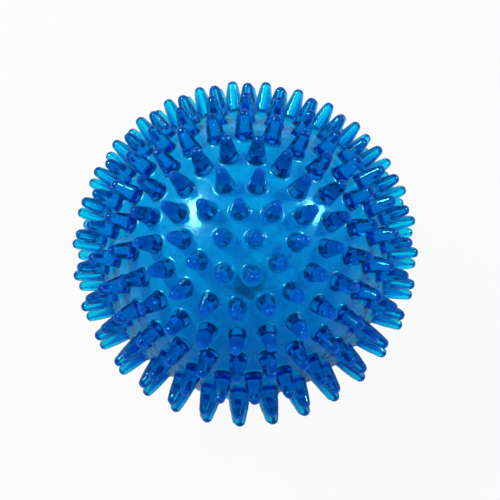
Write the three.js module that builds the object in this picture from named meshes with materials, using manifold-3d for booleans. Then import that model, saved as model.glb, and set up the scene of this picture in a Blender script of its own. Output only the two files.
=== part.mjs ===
// Hollow spiky massage ball: two moulded halves that lap at the seam, and a push-in air valve at the lower
// pole. Millimetres, +Z up, origin at the centre of the ball.
import * as THREE from 'three';
import { ConvexGeometry } from 'three/addons/geometries/ConvexGeometry.js';
import { mergeVertices } from 'three/addons/utils/BufferGeometryUtils.js';
import Module from 'manifold-3d';

const wasm = await Module();
wasm.setup();

// Ball
const overallDiameter = 90;
const wallThickness = 2.6;
const clearance = 0.3;
const overrun = 5;

// Spikes: blunt cones with a round tip
const spikeHeight = 7.9;
const footDiameter = 4.9;
const tipDiameter = 2.8;
const spikeSides = 6;
const footRow = 2;

// Rings of spikes on each half, counted from the pole to the seam, all starting on one meridian. The lower
// half is turned against the upper one by ten spikes of the ring beside the seam.
const spikeCounts = [1, 6, 14, 20, 24, 28, 30, 32];
const firstMeridian = Math.PI;
const lowerTurnSpikes = 10;
const seamSpacing = 9.1;

// Lap of the two halves: a tongue on the upper one stands in a rebate of the lower one
const tongueThickness = 1;
const tongueHeight = 1.2;
const seamSegments = 32;

// Valve at the lower pole: a push-in plug in a sleeve, and the sleeve in a neck moulded on the wall
const plugHeadDiameter = 5;
const plugHeadThickness = 0.8;
const plugStemDiameter = 2.2;
const plugRibDiameter = 2.6;
const plugRibWidth = 0.8;
const plugRibShares = [0.3, 0.55];
const plugOvershoot = 1;
const sleeveWall = 1;
const flangeRim = 0.8;
const flangeFloor = 0.8;
const barbOverhang = 0.9;
const barbLength = 1.4;
const neckWall = 1.6;
const neckLength = 8;
const padMargin = 0.4;
const valveSegments = 20;

// Radii of the ball and places of its rings
const tipReach = overallDiameter / 2;
const bodyRadius = tipReach - spikeHeight;
const innerRadius = bodyRadius - wallThickness;
const lastRingAngle = Math.PI / 2 - seamSpacing / 2 / bodyRadius;
const lowerTurn = 2 * Math.PI * lowerTurnSpikes / spikeCounts[spikeCounts.length - 1];

// Radii of the valve, from the plug outwards, and depths measured inwards from the flat pad round it
const plugHeadRadius = plugHeadDiameter / 2;
const sleeveBoreRadius = plugRibDiameter / 2 + clearance;
const sleeveRadius = sleeveBoreRadius + sleeveWall;
const headSeatRadius = plugHeadRadius + clearance;
const flangeRadius = headSeatRadius + flangeRim;
const flangeDepth = plugHeadThickness + flangeFloor;
const barbRadius = sleeveRadius + barbOverhang;
const sleeveDepth = neckLength + barbLength;
const neckBoreRadius = sleeveRadius + clearance;
const neckRadius = neckBoreRadius + neckWall;
const recessRadius = flangeRadius + clearance;
const padRadius = recessRadius + padMargin;
const padLevel = -Math.sqrt(bodyRadius ** 2 - padRadius ** 2);

// A profile of (radius, height) points turned about the Z axis
function turned(points, segments) {
  const profile = points.map(([radius, height]) => new THREE.Vector2(radius, height));
  const geometry = new THREE.LatheGeometry(profile, segments);
  geometry.rotateX(Math.PI / 2);
  return geometry;
}

// A closed geometry as a solid that can be joined and cut
function solidOf(source) {
  const bare = source.clone();
  bare.deleteAttribute('normal');
  bare.deleteAttribute('uv');
  const merged = mergeVertices(bare);
  const vertProperties = new Float32Array(merged.attributes.position.array);
  const triVerts = new Uint32Array(merged.index.array);
  return new wasm.Manifold(new wasm.Mesh({ numProp: 3, vertProperties, triVerts }));
}

// A solid back as a geometry with flat facets
function geometryOf(solid) {
  const mesh = solid.getMesh();
  const geometry = new THREE.BufferGeometry();
  geometry.setAttribute('position', new THREE.BufferAttribute(mesh.vertProperties, mesh.numProp));
  geometry.setIndex(new THREE.BufferAttribute(mesh.triVerts, 1));
  geometry.computeVertexNormals();
  return geometry;
}

// One spike, standing along +Z: its root in the wall, its foot on the skin, a straight taper and a round tip
function spikeProfile() {
  const footRadius = footDiameter / 2;
  const tipRadius = tipDiameter / 2;
  const footLevel = Math.sqrt(bodyRadius ** 2 - footRadius ** 2);
  const tipCentre = tipReach - tipRadius;
  const taper = Math.atan2(footRadius - tipRadius, tipCentre - footLevel);
  const shoulder = (taper + Math.PI / 2) / 2;
  const onTip = (angle) => [tipRadius * Math.cos(angle), tipCentre + tipRadius * Math.sin(angle)];
  const rootLevel = footLevel - wallThickness / 2;
  return [
    [0, rootLevel],
    [tipRadius, rootLevel],
    [footRadius, footLevel],
    onTip(taper),
    onTip(shoulder),
    [0, tipReach],
  ];
}

// Where the spikes stand: the angle from the upper pole and the meridian of each
function spikePlaces() {
  const places = [];
  spikeCounts.forEach((count, ring) => {
    const angle = lastRingAngle * ring / (spikeCounts.length - 1);
    for (let index = 0; index < count; index += 1) {
      const meridian = firstMeridian + 2 * Math.PI * index / count;
      places.push([angle, meridian]);
      if (ring > 0) {
        places.push([Math.PI - angle, meridian + lowerTurn]);
      }
    }
  });
  return places;
}

// The skin is the hull of all the feet and of the valve's pad, so each foot is one of its flat faces
function spikyBall() {
  const profile = spikeProfile();
  const spike = turned(profile, spikeSides);
  const spikes = spikePlaces().map(([angle, meridian]) => spike.clone().rotateY(angle).rotateZ(meridian));
  const skinPoints = [];
  for (const placed of spikes) {
    for (let side = 0; side < spikeSides; side += 1) {
      const footPoint = side * profile.length + footRow;
      skinPoints.push(new THREE.Vector3().fromBufferAttribute(placed.attributes.position, footPoint));
    }
  }
  const pad = new THREE.CircleGeometry(padRadius, valveSegments).translate(0, 0, padLevel);
  for (let corner = 1; corner <= valveSegments; corner += 1) {
    skinPoints.push(new THREE.Vector3().fromBufferAttribute(pad.attributes.position, corner));
  }
  let ball = solidOf(new ConvexGeometry(skinPoints));
  for (const placed of spikes) {
    ball = ball.add(solidOf(placed));
  }
  return ball;
}

// The hollow shell of both halves, with the neck of the valve, its bore and the recess for the flange
function shell() {
  const hollow = new THREE.SphereGeometry(innerRadius, seamSegments, seamSegments / 2).rotateX(Math.PI / 2);
  const neck = turned([
    [0, flangeDepth / 2],
    [neckRadius, flangeDepth / 2],
    [neckRadius, neckLength],
    [0, neckLength],
  ], valveSegments).translate(0, 0, padLevel);
  const bore = turned([
    [0, -spikeHeight - overrun],
    [recessRadius, -spikeHeight - overrun],
    [recessRadius, flangeDepth],
    [neckBoreRadius, flangeDepth],
    [neckBoreRadius, neckLength + overrun],
    [0, neckLength + overrun],
  ], valveSegments).translate(0, 0, padLevel);
  return spikyBall().subtract(solidOf(hollow)).add(solidOf(neck)).subtract(solidOf(bore));
}

// All space above the seam, with a step down inside the given radius
function aboveSeam(stepRadius, stepDepth) {
  const reach = tipReach + overrun;
  return solidOf(turned([
    [0, -stepDepth],
    [stepRadius, -stepDepth],
    [stepRadius, 0],
    [reach, 0],
    [reach, reach],
    [0, reach],
  ], seamSegments));
}

// Soft sleeve: a flange in the pad's recess, a bore with a seat for the plug's head, a barb inside the neck
function valveSeat() {
  return turned([
    [sleeveBoreRadius, plugHeadThickness],
    [headSeatRadius, plugHeadThickness],
    [headSeatRadius, 0],
    [flangeRadius, 0],
    [flangeRadius, flangeDepth],
    [sleeveRadius, flangeDepth],
    [sleeveRadius, neckLength],
    [barbRadius, neckLength],
    [sleeveRadius, sleeveDepth],
    [sleeveBoreRadius, sleeveDepth],
    [sleeveBoreRadius, plugHeadThickness],
  ], valveSegments);
}

// Air plug: a flat head, a stem with sealing ribs and a round end
function valvePlug() {
  const stemRadius = plugStemDiameter / 2;
  const ribRadius = plugRibDiameter / 2;
  const stemEnd = sleeveDepth + plugOvershoot;
  const ribs = plugRibShares.flatMap((share) => {
    const level = plugHeadThickness + share * (stemEnd - plugHeadThickness);
    return [
      [stemRadius, level - plugRibWidth / 2],
      [ribRadius, level],
      [stemRadius, level + plugRibWidth / 2],
    ];
  });
  return turned([
    [0, 0],
    [plugHeadRadius, 0],
    [plugHeadRadius, plugHeadThickness],
    [stemRadius, plugHeadThickness],
    ...ribs,
    [stemRadius, stemEnd - stemRadius],
    [stemRadius * Math.SQRT1_2, stemEnd - stemRadius * (1 - Math.SQRT1_2)],
    [0, stemEnd],
  ], valveSegments);
}

function piece(name, geometry, material) {
  const mesh = new THREE.Mesh(geometry, new THREE.MeshStandardMaterial(material));
  mesh.name = name;
  return mesh;
}

const softBlue = { color: 0x1583d8, roughness: 0.12, metalness: 0, transparent: true, opacity: 0.85 };
const seatBlue = { color: 0x0d5fa8, roughness: 0.35, metalness: 0 };
const plugBlue = { color: 0x0a4a8c, roughness: 0.4, metalness: 0 };

const wholeShell = shell();
const upperPart = aboveSeam(innerRadius + tongueThickness, tongueHeight);
const rebate = aboveSeam(innerRadius + tongueThickness + clearance, tongueHeight + clearance);

const ball = new THREE.Group();
ball.add(piece('upper_half_shell', geometryOf(wholeShell.intersect(upperPart)), softBlue));
ball.add(piece('lower_half_shell', geometryOf(wholeShell.subtract(rebate)), softBlue));

const valve = new THREE.Group();
valve.position.z = padLevel;
valve.add(piece('valve_seat', valveSeat(), seatBlue));
valve.add(piece('valve_plug', valvePlug(), plugBlue));
ball.add(valve);

export default ball;
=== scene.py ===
from math import asin, atan2, cos, pi, radians, sin, sqrt
import bmesh
import bpy
import numpy as np
from mathutils import Euler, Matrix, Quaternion, Vector


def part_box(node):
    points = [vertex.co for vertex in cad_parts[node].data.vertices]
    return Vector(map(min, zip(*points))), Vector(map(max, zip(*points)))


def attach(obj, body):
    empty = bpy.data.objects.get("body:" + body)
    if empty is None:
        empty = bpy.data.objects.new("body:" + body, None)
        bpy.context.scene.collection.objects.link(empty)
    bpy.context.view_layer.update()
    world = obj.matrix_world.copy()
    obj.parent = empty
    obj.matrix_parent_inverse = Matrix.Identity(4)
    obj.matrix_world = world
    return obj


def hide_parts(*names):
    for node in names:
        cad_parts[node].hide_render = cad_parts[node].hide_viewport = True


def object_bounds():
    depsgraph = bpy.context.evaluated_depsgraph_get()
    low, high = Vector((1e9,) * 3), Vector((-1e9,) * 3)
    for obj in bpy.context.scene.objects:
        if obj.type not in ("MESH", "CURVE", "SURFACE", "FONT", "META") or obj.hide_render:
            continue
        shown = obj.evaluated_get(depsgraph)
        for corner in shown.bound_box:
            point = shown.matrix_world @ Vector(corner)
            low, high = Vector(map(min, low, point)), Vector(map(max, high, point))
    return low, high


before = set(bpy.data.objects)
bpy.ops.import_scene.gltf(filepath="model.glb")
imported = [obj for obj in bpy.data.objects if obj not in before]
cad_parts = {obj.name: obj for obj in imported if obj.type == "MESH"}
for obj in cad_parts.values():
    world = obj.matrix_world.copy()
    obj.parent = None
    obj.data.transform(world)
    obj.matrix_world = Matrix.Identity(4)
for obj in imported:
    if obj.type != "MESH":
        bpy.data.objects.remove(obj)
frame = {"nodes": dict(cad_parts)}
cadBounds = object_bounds()
print("frame loaded:", ", ".join(frame["nodes"]))

# Ball: the skin's sphere, the hollow inside it and the rings of spikes, all about the frame's origin
ball = {
    "tipReach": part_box("upper_half_shell")[1][2],  # centre to the tips of the spikes
    "spikeHeight": 0.0079,
    "wall": 0.0026,
    "ringCounts": [1, 6, 14, 20, 24, 28, 30, 32],  # spikes in each ring of a half, from the pole to the seam
    "firstMeridian": pi,  # every ring of the upper half starts here
    "lowerTurnSpikes": 10,  # the lower half's turn, in spikes of the ring beside the seam
    "seamSpacing": 0.0091,  # along the skin between the two rings beside the seam
    "seamHair": 0.00001,  # half the hairline between the two bonded halves
    "segments": 96,
    "hollowRows": 24,
    "skinPoints": 6000,  # spread over the whole skin to round it between the spikes
}
skinRadius = ball["tipReach"] - ball["spikeHeight"]
hollowRadius = skinRadius - ball["wall"]


def spikeAxes(lower):
    # one row for each spike: polar angle in equal steps from the pole, meridian in equal steps round its ring
    counts = np.array(ball["ringCounts"])
    lastAngle = pi / 2 - ball["seamSpacing"] / 2 / skinRadius
    ring = np.repeat(np.arange(len(counts)), counts)
    place = np.arange(counts.sum()) - np.repeat(np.cumsum(counts) - counts, counts)
    polar = lastAngle * ring / (len(counts) - 1)
    meridian = ball["firstMeridian"] + 2 * pi * place / counts[ring]
    if lower:
        polar = pi - polar[ring > 0]  # no spike at the pole that holds the valve
        meridian = meridian[ring > 0] + 2 * pi * ball["lowerTurnSpikes"] / counts[-1]
    along = np.stack([np.sin(polar) * np.cos(meridian), np.sin(polar) * np.sin(meridian), np.cos(polar)], 1)
    south = np.stack([np.cos(polar) * np.cos(meridian), np.cos(polar) * np.sin(meridian), -np.sin(polar)], 1)
    east = np.stack([-np.sin(meridian), np.cos(meridian), 0 * meridian], 1)
    return along, south, east


# Spike: a slightly bulged cone with a fillet at its foot and a round tip
spike = {
    "footRadius": 0.0025,
    "tipRadius": 0.0014,
    "fillet": 0.0009,
    "bulge": 0.0001,  # the most that the side stands out from a straight cone
    "inset": 0.00005,  # keeps the round tips inside the solid's box
    "sides": 12,
    "filletRows": 3,
    "tipRows": 3,
}


def spikeProfile():
    # distance from the spike's axis and height over the ball's centre: an arc that touches the skin and the
    # cone, then an arc of the tip's sphere that starts square to the cone
    foot, tip, fillet = spike["footRadius"], spike["tipRadius"], spike["fillet"]
    footLevel = sqrt(skinRadius ** 2 - foot ** 2)
    tipCentre = ball["tipReach"] - spike["inset"] - tip
    taper = atan2(foot - tip, tipCentre - footLevel)
    reach = skinRadius + fillet
    lean = asin((fillet + foot * cos(taper) + footLevel * sin(taper)) / reach) - taper
    turn = np.linspace(pi / 2 - lean, taper, spike["filletRows"])  # the skin's normal to the cone's
    filletNormals = np.stack([np.cos(turn), np.sin(turn)], 1)
    filletPoints = np.array([reach * sin(lean), reach * cos(lean)]) - fillet * filletNormals
    sideNormal = filletNormals[-1:]
    rise = np.linspace(taper, pi / 2, spike["tipRows"] + 1)[:-1]
    tipNormals = np.stack([np.cos(rise), np.sin(rise)], 1)
    tipPoints = np.array([0, tipCentre]) + tip * tipNormals
    sidePoint = (filletPoints[-1] + tipPoints[0]) / 2 + spike["bulge"] * sideNormal
    return np.vstack([filletPoints, sidePoint, tipPoints]), np.vstack([filletNormals, sideNormal, tipNormals])


def spikeField(axes):
    # each spike is its profile turned round its own axis, and one more point at the tip
    along, south, east = axes
    points, normals = spikeProfile()
    turn = 2 * pi * np.arange(spike["sides"]) / spike["sides"]
    around = np.cos(turn)[None, :, None] * south[:, None, :] + np.sin(turn)[None, :, None] * east[:, None, :]

    def placed(profile):
        outward = profile[None, :, None, :1] * around[:, None, :, :]
        upward = profile[None, :, None, 1:] * along[:, None, None, :]
        return (outward + upward).reshape(-1, 3)

    count, rows, sides = len(along), len(points), spike["sides"]
    verts = np.vstack([placed(points), along * (ball["tipReach"] - spike["inset"])])
    vertNormals = np.vstack([placed(normals), along])
    index = np.arange(count * rows * sides).reshape(count, rows, sides)
    ahead = np.roll(index, -1, axis=2)
    quads = np.stack([index[:, :-1], ahead[:, :-1], ahead[:, 1:], index[:, 1:]], -1).reshape(-1, 4)
    apex = count * rows * sides + np.repeat(np.arange(count), sides)
    fans = np.stack([index[:, -1].ravel(), ahead[:, -1].ravel(), apex], -1)
    return verts, vertNormals, quads, fans, index[:, 0]


def skinPoints(axes, footReach, lower):
    # points in equal steps of height, each a golden angle on from the last, where no spike stands
    count = ball["skinPoints"]
    height = 1 - (2 * np.arange(count) + 1) / count
    turn = pi * (3 - sqrt(5)) * np.arange(count)
    level = np.sqrt(1 - height ** 2)
    points = np.stack([level * np.cos(turn), level * np.sin(turn), height], 1)
    spacing = sqrt(4 * pi / count)
    ownHalf = (height < -spacing / 2) if lower else (height > spacing / 2)
    bare = (points @ axes[0].T).max(axis=1) < cos(asin(footReach / skinRadius) + spacing / 2)
    offPad = height > -cos(asin(padRadius / skinRadius) + spacing / 2)
    return points[ownHalf & bare & offPad] * skinRadius


def skinBetween(verts, rings):
    # the hull of all the foot rings and skin points, without the faces that close a ring
    points = np.concatenate(rings)
    owner = np.repeat(np.arange(len(rings)), [len(ring) for ring in rings])
    cage = bmesh.new()
    for place in verts[points]:
        cage.verts.new(place)
    bmesh.ops.convex_hull(cage, input=cage.verts[:])
    cage.verts.index_update()
    bmesh.ops.triangulate(cage, faces=cage.faces[:])
    corners = np.array([[vert.index for vert in face.verts] for face in cage.faces])
    cage.free()
    first, second, third = owner[corners].T
    corners = corners[(first != second) | (first != third)]
    faces = points[corners]
    a, b, c = (verts[faces[:, corner]] for corner in range(3))
    inward = np.einsum("ij,ij->i", np.cross(b - a, c - a), a + b + c) < 0
    faces[inward] = faces[inward][:, ::-1]
    return faces


def turned(profile, segments):
    # a profile of (radius, height) carried round the Z axis
    turn = 2 * pi * np.arange(segments) / segments
    profile = np.asarray(profile)
    x = profile[:, :1] * np.cos(turn)
    y = profile[:, :1] * np.sin(turn)
    z = profile[:, 1:] + 0 * x
    index = np.arange(len(profile) * segments).reshape(len(profile), segments)
    ahead = np.roll(index, -1, axis=1)
    quads = np.stack([index[:-1], ahead[:-1], ahead[1:], index[1:]], -1).reshape(-1, 4)
    return np.stack([x, y, z], -1).reshape(-1, 3), quads, index


def rounded(corners, steps=4):
    # a list of (radius, height, rounding): each corner with a rounding becomes an arc that touches both sides
    points = []
    for place, (x, y, rounding) in enumerate(corners):
        here = np.array([x, y])
        if rounding == 0:
            points.append(here)
            continue
        before = np.array(corners[place - 1][:2]) - here
        after = np.array(corners[(place + 1) % len(corners)][:2]) - here
        before /= np.linalg.norm(before)
        after /= np.linalg.norm(after)
        half = np.arccos(np.clip(before @ after, -1, 1)) / 2
        middle = here + (before + after) / np.linalg.norm(before + after) * rounding / sin(half)
        first = here + before * rounding / np.tan(half) - middle
        last = here + after * rounding / np.tan(half) - middle
        sweep = atan2(first[0] * last[1] - first[1] * last[0], first @ last)
        for angle in np.linspace(0, sweep, steps):
            turn = np.array([[cos(angle), -sin(angle)], [sin(angle), cos(angle)]])
            points.append(middle + turn @ first)
    return np.array(points)


def meshPiece(name, verts, faceGroups, body, node, material, cornerNormals=None, sharpDegrees=40):
    # smooth faces that meet at a sharp edge where they turn by more than the given angle
    mesh = bpy.data.meshes.new(name)
    mesh.from_pydata(verts.tolist(), [], [face for group in faceGroups for face in group.tolist()])
    mesh.polygons.foreach_set("use_smooth", np.ones(len(mesh.polygons), dtype=bool))
    mesh.set_sharp_from_angle(angle=radians(sharpDegrees))
    if cornerNormals is not None:
        mesh.normals_split_custom_set(cornerNormals)
    mesh.materials.append(material)
    piece = bpy.data.objects.new(name, mesh)
    bpy.context.scene.collection.objects.link(piece)
    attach(piece, body)
    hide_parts(node)
    return piece


# Valve at the lower pole, from the plug outwards; depths are measured inwards from the pad round it
valve = {
    "clearance": 0.0003,
    "headRadius": 0.0025,
    "headThickness": 0.0008,
    "stemRadius": 0.0011,
    "ribRadius": 0.0013,
    "ribWidth": 0.0008,
    "ribPlaces": [0.3, 0.55],  # along the stem
    "overshoot": 0.001,
    "sleeveWall": 0.001,
    "flangeRim": 0.0008,
    "flangeFloor": 0.0008,
    "barbOverhang": 0.0009,
    "barbLength": 0.0014,
    "neckWall": 0.0016,
    "neckLength": 0.008,
    "padMargin": 0.0004,
    "edge": 0.00015,  # rounding of its edges
    "neckEdge": 0.0003,
    "endRounding": 0.9,  # of the stem's end, as a share of its radius
    "segments": 48,
}
boreRadius = valve["ribRadius"] + valve["clearance"]
sleeveRadius = boreRadius + valve["sleeveWall"]
headSeatRadius = valve["headRadius"] + valve["clearance"]
flangeRadius = headSeatRadius + valve["flangeRim"]
flangeDepth = valve["headThickness"] + valve["flangeFloor"]
neckBoreRadius = sleeveRadius + valve["clearance"]
neckRadius = neckBoreRadius + valve["neckWall"]
recessRadius = flangeRadius + valve["clearance"]
padRadius = recessRadius + valve["padMargin"]
padLevel = -sqrt(skinRadius ** 2 - padRadius ** 2)


def hollowProfile(fromRadius, toRadius, sign):
    # points on the hollow's sphere between two distances from the axis
    start, end = asin(fromRadius / hollowRadius), asin(toRadius / hollowRadius)
    angle = np.linspace(start, end, ball["hollowRows"])
    return np.stack([hollowRadius * np.sin(angle), sign * hollowRadius * np.cos(angle)], 1)


def halfShell(name, lower, material):
    sign = -1 if lower else 1
    axes = spikeAxes(lower)
    verts, normals, quads, fans, feet = spikeField(axes)
    rimLevel = sign * ball["seamHair"]
    rim = np.array([[skinRadius, rimLevel]])
    rimInner = sqrt(hollowRadius ** 2 - rimLevel ** 2)
    if lower:
        neck = rounded([
            (neckRadius, -sqrt(hollowRadius ** 2 - neckRadius ** 2), 0),
            (neckRadius, padLevel + valve["neckLength"], valve["neckEdge"]),
            (neckBoreRadius, padLevel + valve["neckLength"], valve["edge"]),
            (neckBoreRadius, padLevel + flangeDepth, 0),
            (recessRadius, padLevel + flangeDepth, valve["edge"]),
            (recessRadius, padLevel, valve["edge"]),
            (padRadius, padLevel, 0),
        ])
        profile = np.vstack([rim, hollowProfile(rimInner, neckRadius, sign)[:-1], neck])
    else:
        profile = np.vstack([rim, hollowProfile(rimInner, 0, sign)[:-1]])
    lining, liningQuads, liningIndex = turned(profile, ball["segments"])
    base = len(verts)
    liningQuads = liningQuads + base
    liningIndex = liningIndex + base
    verts = np.vstack([verts, lining])
    normals = np.vstack([normals, 0 * lining])
    normals[liningIndex[0]] = verts[liningIndex[0]] / skinRadius
    rounding = skinPoints(axes, np.linalg.norm(np.cross(verts[feet[0, 0]], axes[0][0])), lower)
    roundingIndex = len(verts) + np.arange(len(rounding))
    verts = np.vstack([verts, rounding])
    normals = np.vstack([normals, rounding / skinRadius])
    rings = list(feet) + [liningIndex[0]] + list(roundingIndex[:, None])
    liningFans = np.zeros((0, 3), dtype=int)
    if lower:
        rings.append(liningIndex[-1])
        normals[liningIndex[-1]] = verts[liningIndex[-1]] / skinRadius
    else:
        verts = np.vstack([verts, [[0, 0, hollowRadius]]])
        normals = np.vstack([normals, [[0, 0, 0]]])
        last = liningIndex[-1]
        liningFans = np.stack([np.roll(last, -1), last, np.full(len(last), len(verts) - 1)], 1)
        liningQuads = liningQuads[:, ::-1]
    skin = skinBetween(verts, rings)
    groups = [quads, fans, skin, liningQuads, liningFans]
    corners = [normals[group].reshape(-1, 3) for group in groups[:3]]
    corners += [np.zeros((group.size, 3)) for group in groups[3:]]
    node = "lower_half_shell" if lower else "upper_half_shell"
    return meshPiece(name, verts, groups, "ball", node, material, np.concatenate(corners))


def closedTurned(name, profile, body, node, material):
    # a closed outline turned round the Z axis, with a point of its own where it meets the axis
    outline = np.array(profile)
    onAxis = outline[:, 0] == 0
    verts, quads, index = turned(outline[~onAxis], valve["segments"])
    first, last = index[0], index[-1]
    groups = [quads]
    if onAxis.any():
        low, high = outline[onAxis][0], outline[onAxis][-1]
        verts = np.vstack([verts, [[0, 0, low[1]], [0, 0, high[1]]]])
        groups.append(np.stack([np.roll(first, -1), first, np.full(len(first), len(verts) - 2)], 1))
        groups.append(np.stack([last, np.roll(last, -1), np.full(len(last), len(verts) - 1)], 1))
    else:
        groups.append(np.stack([last, np.roll(last, -1), np.roll(first, -1), first], 1))
    return meshPiece(name, verts, groups, body, node, material)


def fill(tree, socket, value):
    # a node's input takes a plain value or the output of another node
    if isinstance(value, bpy.types.NodeSocket):
        tree.links.new(value, socket)
    else:
        socket.default_value = value


def mathOf(tree, operation, *values):
    # one sum of a maths node, with its terms in the order of the node's inputs
    node = tree.nodes.new("ShaderNodeMath")
    node.operation = operation
    for socket, value in zip(node.inputs, values):
        fill(tree, socket, value)
    return node.outputs[0]


def rangeOf(tree, value, source, target):
    # a value carried from one range to another, and held at its ends
    node = tree.nodes.new("ShaderNodeMapRange")
    fill(tree, node.inputs["Value"], value)
    node.inputs["From Min"].default_value, node.inputs["From Max"].default_value = source
    node.inputs["To Min"].default_value, node.inputs["To Max"].default_value = target
    return node.outputs["Result"]


def mixOf(tree, share, without, full, kind="FLOAT"):
    # the first value where the share is 0, the second where it is 1
    node = tree.nodes.new("ShaderNodeMix")
    node.data_type = kind
    fill(tree, node.inputs["Factor"], share)
    fill(tree, node.inputs["A"], without)
    fill(tree, node.inputs["B"], full)
    return node.outputs["Result"]


# Soft plastic: clear and tinted all through, glossy on the spikes and inside, satin on the skin between them
plastic = {
    "ior": 1.52,
    "clear": {"skin": 0.82, "elsewhere": 0.996},  # share of the light that isn't scattered at the surface
    "colour": (0.0, 0.84, 1.0),
    "skinColour": (0.0, 0.72, 1.0),
    "hollowColour": (0.0, 0.64, 1.0),
    "gloss": (0.05, 0.9, 1.0),
    "absorption": (5000, 75, 9),  # per metre of plastic, for red, green and blue
    "coatIor": 1.5,
    "coatWeight": {"skin": 0.2, "spikes": 0.05},
    "coatRoughness": 0.2,
    "roughness": {"skin": 0.2, "spikes": 0.06, "hollow": 0.08},
    "skinDepth": 0.0002,  # what lies this near to the skin's sphere counts as skin
    "footFade": (0.0001, 0.0006),  # heights over the skin between which its finish turns to the spikes'
    "hollowShare": 0.25,  # how far into the wall the hollow's finish reaches
    "wave": {"size": 0.0035, "depth": 0.00025},  # soft waves in the skin and the hollow
    "grain": {"size": 0.0003, "depth": 0.000012},  # fine grain on the skin's gloss
}


def softPlastic():
    # spikes, skin and hollow are told apart by their distance from the ball's centre
    material = bpy.data.materials.new("softBluePlastic")
    material.use_nodes = True
    tree = material.node_tree
    shader = tree.nodes["Principled BSDF"]
    coords = tree.nodes.new("ShaderNodeTexCoord").outputs["Object"]
    length = tree.nodes.new("ShaderNodeVectorMath")
    length.operation = "LENGTH"
    tree.links.new(coords, length.inputs[0])
    radius = length.outputs["Value"]
    inside = mathOf(tree, "LESS_THAN", radius, hollowRadius + ball["wall"] * plastic["hollowShare"])
    onSkin = mathOf(tree, "COMPARE", radius, skinRadius, plastic["skinDepth"])
    low, high = (skinRadius + height for height in plastic["footFade"])
    rough = plastic["roughness"]
    roughOutside = rangeOf(tree, radius, (low, high), (rough["skin"], rough["spikes"]))
    outside = mixOf(tree, onSkin, (*plastic["colour"], 1), (*plastic["skinColour"], 1), "RGBA")
    values = {
        "Base Color": mixOf(tree, inside, outside, (*plastic["hollowColour"], 1), "RGBA"),
        "Roughness": mixOf(tree, inside, roughOutside, rough["hollow"]),
        "Transmission Weight": mixOf(tree, onSkin, plastic["clear"]["elsewhere"], plastic["clear"]["skin"]),
        "Coat Weight": mixOf(tree, onSkin, plastic["coatWeight"]["spikes"], plastic["coatWeight"]["skin"]),
        "Coat IOR": plastic["coatIor"],
        "Coat Roughness": plastic["coatRoughness"],
        "Specular Tint": (*plastic["gloss"], 1),
        "IOR": plastic["ior"],
    }
    for name, value in values.items():
        fill(tree, shader.inputs[name], value)
    onWall = rangeOf(tree, radius, (high, low), (0, 1))
    for pattern, socket in (("wave", "Normal"), ("grain", "Coat Normal")):
        noise = tree.nodes.new("ShaderNodeTexNoise")
        noise.inputs["Scale"].default_value = 1 / plastic[pattern]["size"]
        tree.links.new(coords, noise.inputs["Vector"])
        bump = tree.nodes.new("ShaderNodeBump")
        bump.inputs["Distance"].default_value = plastic[pattern]["depth"]
        tree.links.new(onWall, bump.inputs["Strength"])
        tree.links.new(noise.outputs["Fac"], bump.inputs["Height"])
        tree.links.new(bump.outputs["Normal"], shader.inputs[socket])
    absorption = tree.nodes.new("ShaderNodeVolumeAbsorption")
    density = max(plastic["absorption"])
    absorption.inputs["Color"].default_value = (*[1 - each / density for each in plastic["absorption"]], 1)
    absorption.inputs["Density"].default_value = density
    tree.links.new(absorption.outputs["Volume"], tree.nodes["Material Output"].inputs["Volume"])
    return material


shellPlastic = softPlastic()
halfShell("upperShell", False, shellPlastic)
halfShell("lowerShell", True, shellPlastic)
print("both half shells made")

# Valve: a soft sleeve and a harder plug, both of a darker blue and with an uneven sheen
valveFinish = {
    "sleeveColour": (0.01, 0.11, 0.36),
    "sleeveRoughness": 0.4,
    "plugColour": (0.01, 0.07, 0.26),
    "plugRoughness": 0.35,
    "patchScale": 900,
    "spread": (0.8, 1.25),  # shares of the roughness between which it wanders
}


def satin(name, colour, roughness):
    material = bpy.data.materials.new(name)
    material.use_nodes = True
    tree = material.node_tree
    shader = tree.nodes["Principled BSDF"]
    shader.inputs["Base Color"].default_value = (*colour, 1)
    noise = tree.nodes.new("ShaderNodeTexNoise")
    noise.inputs["Scale"].default_value = valveFinish["patchScale"]
    tree.links.new(tree.nodes.new("ShaderNodeTexCoord").outputs["Object"], noise.inputs["Vector"])
    span = [roughness * share for share in valveFinish["spread"]]
    tree.links.new(rangeOf(tree, noise.outputs["Fac"], (0, 1), span), shader.inputs["Roughness"])
    return material


sleeveRubber = satin("sleeveRubber", valveFinish["sleeveColour"], valveFinish["sleeveRoughness"])
plugPlastic = satin("plugPlastic", valveFinish["plugColour"], valveFinish["plugRoughness"])
sleeveEnd = valve["neckLength"] + valve["barbLength"]
edge = valve["edge"]
sleeveOutline = rounded([
    (boreRadius, valve["headThickness"], 0),
    (headSeatRadius, valve["headThickness"], 0),
    (headSeatRadius, 0, edge),
    (flangeRadius, 0, edge),
    (flangeRadius, flangeDepth, edge),
    (sleeveRadius, flangeDepth, 0),
    (sleeveRadius, valve["neckLength"], 0),
    (sleeveRadius + valve["barbOverhang"], valve["neckLength"], edge),
    (sleeveRadius, sleeveEnd, edge),
    (boreRadius, sleeveEnd, edge),
]) + [0, padLevel]
closedTurned("valveSleeve", sleeveOutline, "ball", "valve_seat", sleeveRubber)

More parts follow.
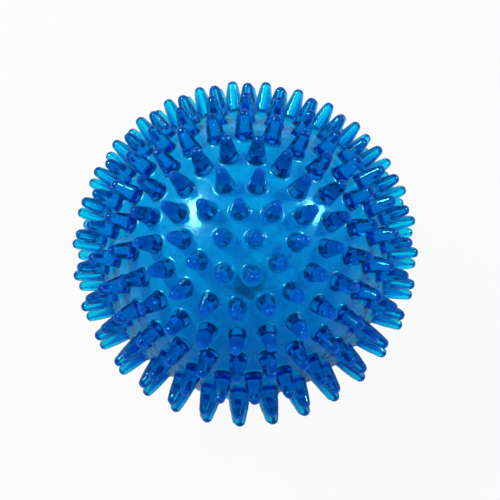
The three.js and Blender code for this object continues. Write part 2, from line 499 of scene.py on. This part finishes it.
stemEnd = sleeveEnd + valve["overshoot"]
ribs = []
for share in valve["ribPlaces"]:
    level = valve["headThickness"] + share * (stemEnd - valve["headThickness"])
    ribs += [
        (valve["stemRadius"], level - valve["ribWidth"] / 2, 0),
        (valve["ribRadius"], level, edge),
        (valve["stemRadius"], level + valve["ribWidth"] / 2, 0),
    ]
plugOutline = rounded([
    (0, 0, 0),
    (valve["headRadius"], 0, edge),
    (valve["headRadius"], valve["headThickness"], edge),
    (valve["stemRadius"], valve["headThickness"], edge),
    *ribs,
    (valve["stemRadius"], stemEnd, valve["stemRadius"] * valve["endRounding"]),
    (0, stemEnd, 0),
]) + [0, padLevel]
closedTurned("airPlug", plugOutline, "plug", "valve_plug", plugPlastic)
print("valve made")

# Studio: a pale floor, two lamps high on both sides of the camera and a dim room
studio = {
    "floorColour": (0.28, 0.28, 0.28),
    "floorRoughness": 0.9,
    "floorSize": 3,
    "lampDistance": 0.6,
    "leftLamp": {"towards": (-0.595, 0.298, 0.746), "size": (0.07, 0.26), "spin": -1.12, "watts": 4.2},
    "rightLamp": {"towards": (0.763, 0.366, 0.533), "size": (0.07, 0.07), "spin": 0, "watts": 2.5},
    "room": 0.04,  # light of the room, where 1 is white
    "roomWhite": {"seen": 1, "through": 0.5, "mirrored": 0.15},  # shares of plain white, by the kind of ray
    "floorWhite": {"seen": 0.95, "near": 0.55, "far": 1.0, "mirrored": 0.08},  # near, far: white shares seen through the ball; the lower near share is painted shade of the ball on the floor
    "shade": (-0.04, 0.06),  # painted shade: where, along the floor's Y, the share seen through the ball turns from near to far, standing in for the ball's shade on the floor
}


def whiteShare(tree, seen, through, mirrored):
    # how much plain white a ray sees: the largest share of the kinds that the ray counts as
    rays = tree.nodes.new("ShaderNodeLightPath").outputs
    seen = mathOf(tree, "MULTIPLY", rays["Is Camera Ray"], seen)
    through = mathOf(tree, "MULTIPLY", rays["Is Transmission Ray"], through)
    mirrored = mathOf(tree, "MULTIPLY", rays["Is Glossy Ray"], mirrored)
    return mathOf(tree, "MAXIMUM", mathOf(tree, "MAXIMUM", seen, through), mirrored)


def floorPaint():
    material = bpy.data.materials.new("floorPaint")
    material.use_nodes = True
    tree = material.node_tree
    shader = tree.nodes["Principled BSDF"]
    shader.inputs["Base Color"].default_value = (*studio["floorColour"], 1)
    shader.inputs["Roughness"].default_value = studio["floorRoughness"]
    place = tree.nodes.new("ShaderNodeSeparateXYZ")
    tree.links.new(tree.nodes.new("ShaderNodeTexCoord").outputs["Object"], place.inputs[0])
    share = studio["floorWhite"]
    # painted shade: seen through the ball, the floor's white share falls towards its near side, standing in
    # for the ball's shadow
    through = rangeOf(tree, place.outputs["Y"], studio["shade"], (share["near"], share["far"]))
    mix = tree.nodes.new("ShaderNodeMixShader")
    tree.links.new(whiteShare(tree, share["seen"], through, share["mirrored"]), mix.inputs["Fac"])
    tree.links.new(shader.outputs["BSDF"], mix.inputs[1])
    tree.links.new(tree.nodes.new("ShaderNodeEmission").outputs["Emission"], mix.inputs[2])
    tree.links.new(mix.outputs["Shader"], tree.nodes["Material Output"].inputs["Surface"])
    return material


floorMesh = bpy.data.meshes.new("floor")
half = studio["floorSize"] / 2
floorCorners = [(-half, -half), (half, -half), (half, half), (-half, half)]
floorMesh.from_pydata([(x, y, cadBounds[0][2]) for x, y in floorCorners], [], [(0, 1, 2, 3)])
floorMesh.materials.append(floorPaint())
floor = bpy.data.objects.new("floor", floorMesh)
bpy.context.scene.collection.objects.link(floor)

room = bpy.data.worlds.new("room")
bpy.context.scene.world = room
room.use_nodes = True
background = room.node_tree.nodes["Background"]
background.inputs["Color"].default_value = (1, 1, 1, 1)
plainWhite = whiteShare(room.node_tree, **studio["roomWhite"])
roomLevel = mathOf(room.node_tree, "MAXIMUM", plainWhite, studio["room"])
room.node_tree.links.new(roomLevel, background.inputs["Strength"])

for name in ("leftLamp", "rightLamp"):
    light = bpy.data.lights.new(name, "AREA")
    light.shape = "ELLIPSE"
    light.size, light.size_y = studio[name]["size"]
    light.energy = studio[name]["watts"]
    lamp = bpy.data.objects.new(name, light)
    towards = Vector(studio[name]["towards"]).normalized()
    lamp.location = towards * studio["lampDistance"]
    lamp.visible_transmission = False  # keeps grain out of the spikes
    aim = towards.to_track_quat("Z", "Y") @ Quaternion((0, 0, 1), studio[name]["spin"])
    lamp.rotation_euler = aim.to_euler()
    bpy.context.scene.collection.objects.link(lamp)
print("studio set")

# Camera: at the photograph's place, from which the ball's pole is tipped towards the top of the image
view = {
    "distance": 0.4207,
    "tilt": 0.2747,  # radians, as are the next two
    "lean": 0.0359,
    "roll": 0.027,
    "focalPixels": 1613,
    "imagePixels": 500,
    "centrePixels": (245.3, 253.8),  # where the ball's centre stands in the image
    "sensorWidth": 36,  # millimetres
}
cameraData = bpy.data.cameras.new("camera")
cameraData.sensor_width = view["sensorWidth"]
cameraData.lens = view["sensorWidth"] * view["focalPixels"] / view["imagePixels"]
cameraData.shift_x = (view["imagePixels"] / 2 - view["centrePixels"][0]) / view["imagePixels"]
cameraData.shift_y = (view["centrePixels"][1] - view["imagePixels"] / 2) / view["imagePixels"]
camera = bpy.data.objects.new("camera", cameraData)
camera.rotation_mode = "YXZ"
camera.rotation_euler = Euler((view["tilt"], view["lean"], view["roll"]), "YXZ")
camera.location = camera.rotation_euler.to_matrix() @ Vector((0, 0, view["distance"]))
bpy.context.scene.collection.objects.link(camera)
bpy.context.scene.camera = camera
bpy.context.scene.view_settings.view_transform = "Standard"
print("camera set")
